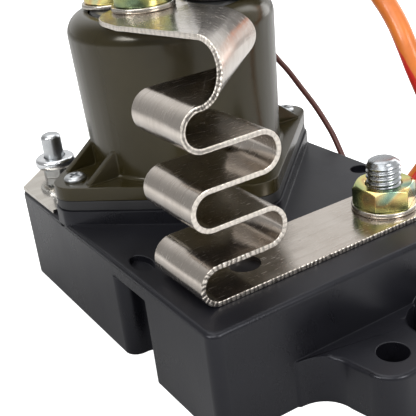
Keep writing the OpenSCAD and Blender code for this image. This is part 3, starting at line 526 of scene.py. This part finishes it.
def strip_stations():
    """Stations of (near point, far point, normal) from the free end up to the tongue, as in part.scad."""
    far = Vector((0, STRIP_W, 0))
    stations = []
    for a in range(0, 91, 10):
        inset = END_CORNER * (1 - math.sin(math.radians(a)))
        x = STRIP_END - END_CORNER * (1 - math.cos(math.radians(a)))
        near = Vector((x, STRIP_Y + inset, STRIP_Z))
        stations.append((near, near + Vector((0, STRIP_W - 2 * inset, 0)), Vector((0, 0, -1))))
    for i in range(FOLDS):
        side, centre = (-1, BEND_LEFT) if i % 2 == 0 else (1, BEND_RIGHT)
        for a in range(0, 181, 5):
            s, c = math.sin(math.radians(a)), math.cos(math.radians(a))
            x, z = centre + side * PITCH / 2 * s, STRIP_Z + (i + 0.5) * PITCH - PITCH / 2 * c
            near = Vector((x, STRIP_Y, z))
            stations.append((near, near + far, Vector((-s, 0, side * c))))
    stations += cone_stations()
    stations += tongue_stations()
    return stations


def cone_point(start, radius, rise, phi):
    c, s = math.cos(FOLD_ANGLE), math.sin(FOLD_ANGLE)
    return (start + Vector((c, s, 0)) * radius * phi / math.tan(FOLD_ANGLE)
        + Vector((s, -c, 0)) * radius * math.sin(phi) + Vector((0, 0, rise * (1 - math.cos(phi)) / 2)))


def cone_stations():
    near = Vector((BEND_LEFT + 0.1, STRIP_Y, STRIP_TOP))
    far = near + Vector((STRIP_W / math.tan(FOLD_ANGLE), STRIP_W, 0))
    near_rise, far_rise = TONGUE_Z + NEAR_LIFT - STRIP_TOP, TONGUE_Z + FAR_LIFT - STRIP_TOP
    stations = []
    for degrees in range(0, 181, 4):
        phi = math.radians(degrees)
        p, q = cone_point(near, NEAR_R, near_rise, phi), cone_point(far, FAR_R, far_rise, phi)
        sides = []
        for turned in (phi + math.radians(1), phi - math.radians(1)):
            pair = cone_point(near, NEAR_R, near_rise, turned), cone_point(far, FAR_R, far_rise, turned)
            sides.append(pair[0] + pair[1])
        stations.append((p, q, (sides[0] - sides[1]).cross(q - p).normalized()))
    return stations


def tongue_stations():
    x, down = -STUD_X, Vector((0, 0, -1))
    left, right = x - TONGUE_LEFT, x + TONGUE_RIGHT
    stations = [(Vector((left - 0.3, RELAY_Y - 24, TONGUE_Z + 0.5)),
        Vector((right, RELAY_Y - 20.5, TONGUE_Z + 0.2)), Vector((0.02, 0.05, -1)).normalized()),
        (Vector((left, RELAY_Y - 20, TONGUE_Z)), Vector((right, RELAY_Y - 16, TONGUE_Z)), down)]
    round_y = RELAY_Y - STUD_Y - 6.3
    for degrees in [*range(0, 72, 6), 75, 78, 80]:
        a = math.radians(degrees)
        y, reach = round_y + TONGUE_LEFT * math.sin(a), TONGUE_LEFT * math.cos(a)
        near, far = Vector((x - reach, y, TONGUE_Z)), Vector((x + min(TONGUE_RIGHT, reach), y, TONGUE_Z))
        stations.append((near, far, down))
    return stations


def strip_section(near, far, normal, corner=0.2, steps=3):
    """One ring round the strip's rounded section, and the place across the strip of each point."""
    across = (far - near).normalized()
    width, half = (far - near).length, STRIP_T / 2
    ring, place = [], []
    corners = [(width - corner, half - corner, 90), (width - corner, corner - half, 0),
        (corner, corner - half, -90), (corner, half - corner, -180)]
    for s, q, start in corners:
        for k in range(steps + 1):
            a = math.radians(start - 90 * k / steps)
            ring.append(near + across * (s + corner * math.cos(a)) + normal * (q + corner * math.sin(a)))
            place.append(s + corner * math.cos(a) + (q + corner * math.sin(a)) * 3)
    return ring, place


def cylinder_mesh(x, y, low, high, radius):
    rows = [[(x + radius * math.cos(math.tau * k / 64), y + radius * math.sin(math.tau * k / 64), z)
        for k in range(64)] for z in (low, high)]
    return grid_mesh("cutter", rows)


def make_strip():
    stations = strip_stations()
    rings = [strip_section(*s) for s in stations]
    middles = [(near + far) / 2 for near, far, _ in stations]
    along = [0.0]
    for a, b in zip(middles, middles[1:]):
        along.append(along[-1] + (b - a).length)
    around = [*rings[len(rings) // 2][1], rings[len(rings) // 2][1][0]]
    mesh = grid_mesh("strip", [ring for ring, _ in rings])
    lay_uv(mesh, along, around)
    count = len(around) - 1
    per_corner = count // 4
    for face in mesh.polygons:
        columns = sorted(v % count for v in face.vertices)
        corner, place = divmod(columns[0], per_corner)
        flat = len(columns) == 4 and place == per_corner - 1 and corner % 2 == 1
        closing = columns[0] == 0 and columns[-1] == count - 1
        face.material_index = 0 if flat or closing else 1
    for finish in (STRIP_FACE, STRIP_EDGE):
        mesh.materials.append(finish.material)
    holes = [(BASE_STUD_X, STRIP_MID, 20, 30, STUD_R + 0.2), (HOLE_X, STRIP_MID, 20, 28, HOLE_R),
        (-STUD_X, RELAY_Y - STUD_Y, 70, 76, STUD_R + 0.2)]
    cutters = []
    for hole in holes:
        cutter = bpy.data.objects.new("cutter", cylinder_mesh(*hole))
        bpy.context.scene.collection.objects.link(cutter)
        cutters.append(cutter)
    how = {"operation": "DIFFERENCE", "solver": "EXACT"}
    cuts = [("BOOLEAN", {"object": cutter, **how}) for cutter in cutters]
    mesh = with_modifiers(mesh, *cuts)
    for cutter in cutters:
        bpy.data.objects.remove(cutter)
    shown("shunt_strip_piece", smoothed(mesh, 50), [STRIP_FACE, STRIP_EDGE], ["shunt_strip"])


# Studs with a rolled thread


def thread_dip(turn):
    """Depth of a thread at a share of its pitch, from 0 on the crest to 1 at the root."""
    rise = abs(2 * (turn % 1) - 1)
    return min(1.0, max(0.0, (rise - 0.14) / 0.72))


def make_stud(node, x, y, base_z, tip_z, radius, head_r, head_t, pitch, thread_from, thread=0.42,
        finish=None):
    """A stud: a round head below base_z, a plain neck, a thread of that depth in pitches, a round tip."""
    sides, depth, chamfer = 48, pitch * thread, radius * 0.5
    dome = chamfer * 0.2
    edge = 0.2
    levels = [(base_z - head_t, head_r - edge, 0), (base_z - head_t + edge, head_r, 0),
        (base_z - edge, head_r, 0), (base_z, head_r - edge, 0), (base_z + 0.01, radius, 0),
        (thread_from, radius, 0)]
    z = thread_from
    while z < tip_z - chamfer - pitch / 10:
        z += pitch / 10
        fade = min(1, (z - thread_from) / pitch)
        levels.append((z, radius, fade))
    top = [(math.sin(math.radians(a)), 0.45 + 0.55 * math.cos(math.radians(a))) for a in range(0, 91, 10)]
    top += [(1.0, 0.3), (1.0, 0.05)]
    for h, r in top:
        z = tip_z - chamfer + (chamfer - dome) * h + dome * (1 - r)
        levels.append((z, radius * r, 0.75 * (1 - h) ** 0.5))
    rows = []
    for z, r, fade in levels:
        row = []
        for k in range(sides):
            turn = k / sides
            reach = r - depth * fade * thread_dip(z / pitch - turn)
            row.append((x + reach * math.cos(math.tau * turn), y + reach * math.sin(math.tau * turn), z))
        rows.append(row)
    mesh = smoothed(grid_mesh(node, rows), 50)
    shown(node + "_piece", mesh, [finish or STUD], [node])


def make_nut(node, x, y, z, flats, height, bore, turn, chamfer=0.68):
    """A hex nut whose corners are turned off in a curve at the top, and less at the bottom."""
    count, land = 96, flats / 2 * 0.97
    corner = flats / 2 / math.cos(math.radians(30))
    rows = [[] for _ in range(8)]
    for k in range(count):
        a = math.tau * k / count
        reach = flats / 2 / math.cos((a % (math.tau / 6)) - math.pi / 6)
        drop = chamfer * (reach - land) / (corner - land)
        ring = [(bore, 0.3), (bore + 0.3, 0), (land, 0), (reach, 0.4 * drop), (reach, height - drop),
            (land, height), (bore + 0.35, height), (bore, height - 0.35)]
        for row, (r, h) in zip(rows, ring):
            spin = a + math.radians(turn)
            row.append((x + r * math.cos(spin), y + r * math.sin(spin), z + h))
    mesh = grid_mesh(node, rows + rows[:1], False)
    form = bmesh.new()
    form.from_mesh(mesh)
    bmesh.ops.remove_doubles(form, verts=form.verts, dist=1e-6)
    form.to_mesh(mesh)
    form.free()
    bevel = ("BEVEL", {"width": 0.12 * MM, "segments": 2, "limit_method": "ANGLE",
        "angle_limit": math.radians(26), "use_clamp_overlap": False})
    shown(node + "_piece", smoothed(with_modifiers(mesh, bevel), 30), [YELLOW_ZINC], [node])


# Leads


def smooth_path(route, steps=10):
    """A smooth line through the route's points, straight at its two ends."""
    points = [Vector(p) for p in route]
    ends = len(points) - 1
    slopes = [(points[min(i + 1, ends)] - points[max(i - 1, 0)]) for i in range(ends + 1)]
    slopes[0] = slopes[1] = points[1] - points[0]
    slopes[-1] = slopes[-2] = points[-1] - points[-2]
    line = []
    for i in range(ends):
        a, b = points[i], points[i + 1]
        reach = (b - a).length
        u, v = slopes[i].normalized() * reach, slopes[i + 1].normalized() * reach
        for k in range(steps):
            t = k / steps
            line.append(a * (2 * t**3 - 3 * t**2 + 1) + u * (t**3 - 2 * t**2 + t)
                + b * (3 * t**2 - 2 * t**3) + v * (t**3 - t**2))
    line.append(points[-1])
    return line


def make_lead(node, route, radius, finish):
    """A round lead along its route, which goes back into the object."""
    line, sides = smooth_path(route), 24
    side = Vector((0, 0, 1)).cross(line[1] - line[0]).normalized()
    rows, along = [], [0.0]
    for i, point in enumerate(line):
        ahead = (line[min(i + 1, len(line) - 1)] - line[max(i - 1, 0)]).normalized()
        side = (side - ahead * side.dot(ahead)).normalized()
        up = ahead.cross(side)
        turns = [math.tau * k / sides for k in range(sides)]
        rows.append([point + radius * (side * math.cos(turn) + up * math.sin(turn)) for turn in turns])
        if i:
            along.append(along[-1] + (point - line[i - 1]).length)
    mesh = grid_mesh(node, rows)
    lay_uv(mesh, along, [k / sides for k in range(sides + 1)])
    piece = shown(node + "_piece", smoothed(mesh, 50), [finish], [node])


# The return spring and the rubber boot


def make_spring():
    """The return spring, shown with a mesh of its own; the real spring shortens towards the header as the
    plunger rises.
    """
    piece = shown("return_spring_piece", smoothed(clean_copy("return_spring"), 60), [STEEL],
        ["return_spring"])
    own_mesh(piece)


def make_boot():
    """The boot's shell made soft: remeshed finely and smoothed, so that dome and sleeve flow together."""
    mesh = with_modifiers(clean_copy("terminal_boot"),
        ("REMESH", {"mode": "VOXEL", "voxel_size": 0.35 * MM}),
        ("SMOOTH", {"factor": 0.5, "iterations": 14}))
    mesh.shade_smooth()
    shown("terminal_boot_piece", mesh, [RUBBER], ["terminal_boot"])


def dress_nodes():
    """The CAD nodes whose form is right keep it, with a finish of their own."""
    kept = {"potting_block": POTTING, "circuit_board": BOARD, "board_parts": BOARD_PARTS,
        "coil_bobbin": BOBBIN, "coil_winding": WINDING, "pole_plate": STEEL, "plunger": STEEL,
        "contact_insulator": BOBBIN, "contact_disc": COPPER, "coil_stud_boot": ZINC,
        "boot_ring_terminal": TINNED, "boot_nut": YELLOW_ZINC}
    for node, finish in kept.items():
        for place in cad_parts[node].material_slots:
            place.material = finish.material


def dress_pieces():
    broken_edges("base_housing", BASE_PLASTIC, 0.3)
    broken_edges("relay_pad", PAD, 0.25)
    broken_edges("relay_housing", RELAY_PLASTIC, 0.35)
    broken_edges("relay_header", HEADER_PLASTIC, 0.15)
    broken_edges("relay_screws", ZINC, 0.1)
    broken_edges("corner_plate", PLATE, 0.12)
    for node in ("load_washer", "base_washer", "feed_flat_washer"):
        broken_edges(node, WASHER, 0.35, 3)
    broken_edges("corner_washer", DISC, 0.22)
    for node in ("load_lock_washer", "feed_washer"):
        broken_edges(node, YELLOW_ZINC, 0.3)
    broken_edges("corner_nut", ZINC, 0.2)
    broken_edges("open_ring_terminal", TINNED, 0.12)
    for node in ("orange_grommet", "brown_grommet"):
        broken_edges(node, RUBBER, 0.25)


def make_studs():
    for node, side in (("load_stud", -1), ("feed_stud", 1)):
        make_stud(node, -STUD_X, RELAY_Y + side * STUD_Y, HEADER_Z, HEADER_TOP + STUD_RISE, STUD_R,
            STUD_HEAD_R, STUD_HEAD_T, 1.25, HEADER_TOP)
    make_stud("coil_stud_open", STUD_X, RELAY_Y + STUD_Y, HEADER_Z + 1.2, HEADER_TOP + COIL_STUD_RISE,
        COIL_STUD_R, 3.5, 1.2, 0.8, HEADER_TOP)
    make_stud("base_stud", BASE_STUD_X, STRIP_MID, CAVITY_Z, BASE_H + BASE_STUD_RISE, STUD_R, STUD_R + 2.4,
        2.5, 1.25, BASE_H)
    make_stud("corner_stud", CORNER_X, CORNER_Y, CAVITY_Z, BASE_H + CORNER_RISE, CORNER_STUD_R,
        CORNER_STUD_R + 1.4, 2.5, 1.0, BASE_H, thread=0, finish=ZINC)


def make_nuts():
    feed_z = HEADER_TOP + WASHER_T + LOCK_T
    bore = STUD_R + THREAD_GAP
    make_nut("load_nut", -STUD_X, RELAY_Y - STUD_Y, feed_z + STRIP_T, NUT_FLATS, NUT_T, bore, 8)
    make_nut("feed_nut", -STUD_X, RELAY_Y + STUD_Y, feed_z, NUT_FLATS, NUT_T, bore, 20)
    make_nut("base_nut", BASE_STUD_X, STRIP_MID, BASE_H + STRIP_T + WASHER_T, NUT_FLATS, NUT_T, bore, 32)
    make_nut("open_nut", STUD_X, RELAY_Y + STUD_Y, HEADER_TOP + 0.9, 8, 3.2, COIL_STUD_R + THREAD_GAP, 0, 0.4)


dress_nodes()
dress_pieces()
make_strip()
make_studs()
make_nuts()
make_spring()
make_boot()
make_lead("orange_lead", ORANGE_ROUTE, ORANGE_R, ORANGE)
make_lead("brown_lead", BROWN_ROUTE, BROWN_R, BROWN)


# ---- Floor, lights and camera ----

# The floor's colour is painted darker round a point near the object's foot: painted shade, gone 0.12 m away
PAINTED_SHADE_CENTRE, FLOOR_PAINTED_SHADE, FLOOR_FAR, FLOOR_GLOW = (-0.05, 0.01, 0), 0.34, 0.86, 0.95
SKY_DIFFUSE = 0.42
# Each fall: a direction, from and to how far a ray leans that way, and the brightness at the two ends
FRONT_FALL = ((-0.30, -0.93, -0.2), 0.1, 0.85, 0.88, 0.5)
LEFT_FALL = ((-0.78, 0.25, 0.15), 0.3, 0.62, 1.0, 0.42)
CAMERA_AZIMUTH, CAMERA_ELEVATION, CAMERA_ROLL = 29.52, 24.75, 7.09
CAMERA_LENS, CAMERA_SENSOR, CAMERA_PLACE = 72.58, 36.0, (-98.72, -166.81, 110.44)


def add_floor():
    """A white floor that keeps the object's shadow and meets the white background; its colour is painted
    darker towards the object, a painted shade.
    """
    form = bmesh.new()
    bmesh.ops.create_grid(form, x_segments=8, y_segments=8, size=3)
    mesh = bpy.data.meshes.new("floor")
    form.to_mesh(mesh)
    form.free()
    floor = bpy.data.objects.new("floor", mesh)
    bpy.context.scene.collection.objects.link(floor)
    material = bpy.data.materials.new("floor_white")
    material.use_nodes = True
    nodes, links = material.node_tree.nodes, material.node_tree.links
    shader = nodes["Principled BSDF"]
    where, gap = nodes.new("ShaderNodeTexCoord"), nodes.new("ShaderNodeVectorMath")
    shade = nodes.new("ShaderNodeValToRGB")
    gap.operation = "DISTANCE"
    gap.inputs[1].default_value = PAINTED_SHADE_CENTRE
    reach = nodes.new("ShaderNodeMath")
    reach.operation = "MULTIPLY"
    reach.inputs[1].default_value = 5
    # Painted shade: the floor's colour runs from dark at the shade's centre to light 0.12 m from it
    for place, level, stop in zip((0.0, 0.6), (FLOOR_PAINTED_SHADE, FLOOR_FAR), shade.color_ramp.elements):
        stop.position, stop.color = place, (level, level, level, 1)
    links.new(where.outputs["Object"], gap.inputs[0])
    links.new(gap.outputs["Value"], reach.inputs[0])
    links.new(reach.outputs[0], shade.inputs["Fac"])
    links.new(shade.outputs["Color"], shader.inputs["Base Color"])
    shader.inputs["Roughness"].default_value = 0.9
    shader.inputs["Specular IOR Level"].default_value = 0.1
    glow, seen = nodes.new("ShaderNodeEmission"), nodes.new("ShaderNodeLightPath")
    total = nodes.new("ShaderNodeAddShader")
    lift = nodes.new("ShaderNodeMath")
    lift.operation = "MULTIPLY"
    lift.inputs[1].default_value = FLOOR_GLOW
    links.new(seen.outputs["Is Camera Ray"], lift.inputs[0])
    links.new(lift.outputs[0], glow.inputs["Strength"])
    links.new(shader.outputs[0], total.inputs[0])
    links.new(glow.outputs[0], total.inputs[1])
    links.new(total.outputs[0], nodes["Material Output"].inputs["Surface"])
    mesh.materials.append(material)


def add_world():
    """White to the camera; in reflections darker in front and on the left; plain and dimmer for the rest."""
    world = bpy.data.worlds.new("light_tent")
    bpy.context.scene.world = world
    world.use_nodes = True
    nodes, links = world.node_tree.nodes, world.node_tree.links
    back = nodes["Background"]
    back.inputs["Color"].default_value = (1, 1, 1, 1)
    where, path = nodes.new("ShaderNodeTexCoord"), nodes.new("ShaderNodeLightPath")

    def fall(side, near, far, start, end):
        """Brightness by how far a direction leans to one side."""
        dot, level = nodes.new("ShaderNodeVectorMath"), nodes.new("ShaderNodeMapRange")
        dot.operation = "DOT_PRODUCT"
        dot.inputs[1].default_value = side
        links.new(where.outputs["Generated"], dot.inputs[0])
        links.new(dot.outputs["Value"], level.inputs["Value"])
        for socket, number in zip(("From Min", "From Max", "To Min", "To Max"), (near, far, start, end)):
            level.inputs[socket].default_value = number
        return level.outputs["Result"]

    both = nodes.new("ShaderNodeMath")
    both.operation = "MULTIPLY"
    links.new(fall(*FRONT_FALL), both.inputs[0])
    links.new(fall(*LEFT_FALL), both.inputs[1])
    last = None
    rays = (("Is Glossy Ray", both.outputs[0]), ("Is Transmission Ray", None), ("Is Camera Ray", None))
    for ray, strength in rays:
        mix = nodes.new("ShaderNodeMix")
        mix.inputs[2].default_value, mix.inputs[3].default_value = SKY_DIFFUSE, 1.0
        if last:
            links.new(last, mix.inputs[2])
        if strength:
            links.new(strength, mix.inputs[3])
        links.new(path.outputs[ray], mix.inputs[0])
        last = mix.outputs[0]
    links.new(last, back.inputs["Strength"])


def add_softbox(name, place, size, power, aim=(0, 0, 0.04)):
    lamp = bpy.data.lights.new(name, "AREA")
    lamp.shape, lamp.size, lamp.size_y, lamp.energy = "RECTANGLE", size[0], size[1], power
    holder = bpy.data.objects.new(name, lamp)
    bpy.context.scene.collection.objects.link(holder)
    holder.location = place
    holder.rotation_euler = (Vector(aim) - Vector(place)).to_track_quat("-Z", "Y").to_euler()


def add_camera():
    """The photograph's camera, turned and rolled as the photo was taken."""
    azimuth, elevation, roll = (math.radians(a) for a in (CAMERA_AZIMUTH, CAMERA_ELEVATION, CAMERA_ROLL))
    flat = math.cos(elevation)
    forward = Vector((math.sin(azimuth) * flat, math.cos(azimuth) * flat, -math.sin(elevation)))
    level = Vector((math.cos(azimuth), -math.sin(azimuth), 0))
    down = forward.cross(level)
    right = level * math.cos(roll) + down * math.sin(roll)
    up = level * math.sin(roll) - down * math.cos(roll)
    data = bpy.data.cameras.new("camera")
    data.lens, data.sensor_width = CAMERA_LENS, CAMERA_SENSOR
    data.clip_start, data.clip_end = 0.01, 20
    camera = bpy.data.objects.new("camera", data)
    bpy.context.scene.collection.objects.link(camera)
    turn = Matrix((right, up, -forward)).transposed().to_4x4()
    camera.matrix_world = Matrix.Translation(Vector(CAMERA_PLACE) * MM) @ turn
    bpy.context.scene.camera = camera


add_floor()
add_world()
add_softbox("key", (-0.35, -0.25, 0.55), (0.35, 0.35), 1.3)
add_softbox("left", (-0.54, -0.06, 0.37), (0.2, 0.14), 1.15)
add_softbox("top", (0.05, 0.15, 0.65), (0.5, 0.5), 1.4)
add_softbox("right", (0.5, 0.1, 0.25), (0.2, 0.5), 0.7)
add_softbox("front", (0.15, -0.75, 0.6), (0.35, 0.35), 3.6, (0.05, -0.15, 0))
add_camera()
bpy.context.scene.view_settings.view_transform = "Standard"
